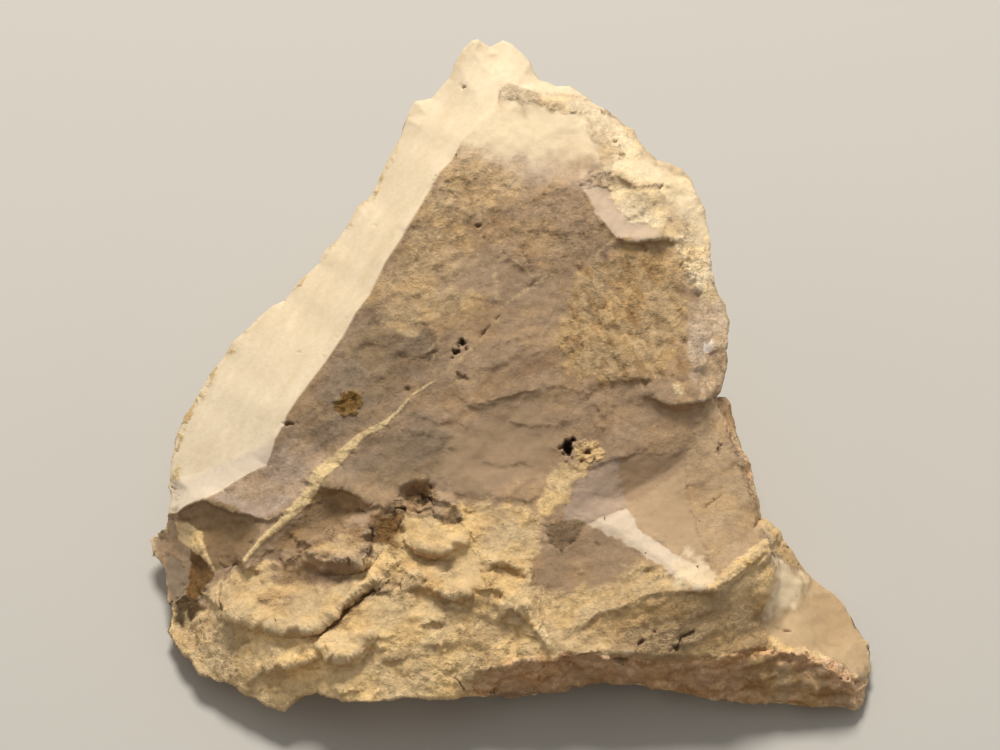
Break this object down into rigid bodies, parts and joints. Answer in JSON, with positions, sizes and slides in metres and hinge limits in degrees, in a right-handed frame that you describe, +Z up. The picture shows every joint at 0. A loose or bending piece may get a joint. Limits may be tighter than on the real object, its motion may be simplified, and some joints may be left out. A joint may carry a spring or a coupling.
{
  "type": "mineral specimen",
  "caption": "Broken, roughly triangular lump of compact earthy richellite: smooth cream bevel, drab brown face with a pale vein, crumbly ochre foot and low tail. It rests on a flat side.",
  "frame": {"origin": "centre of the bounding box's underside, on the flat the stone lies on", "axes": "+X to the right and +Y away as the broken front is faced, +Z up; the leaning front faces -Y and up, and the low tail points to +X"},
  "size_m": [0.0734, 0.0637, 0.0376],
  "materials": {
    "stone": "dull, earthy, broken surface; smooth and cream on the bevel, rough and ochre at the foot"
  },
  "bodies": {
    "root": {"stone": "stone"}
  },
  "joints": []
}
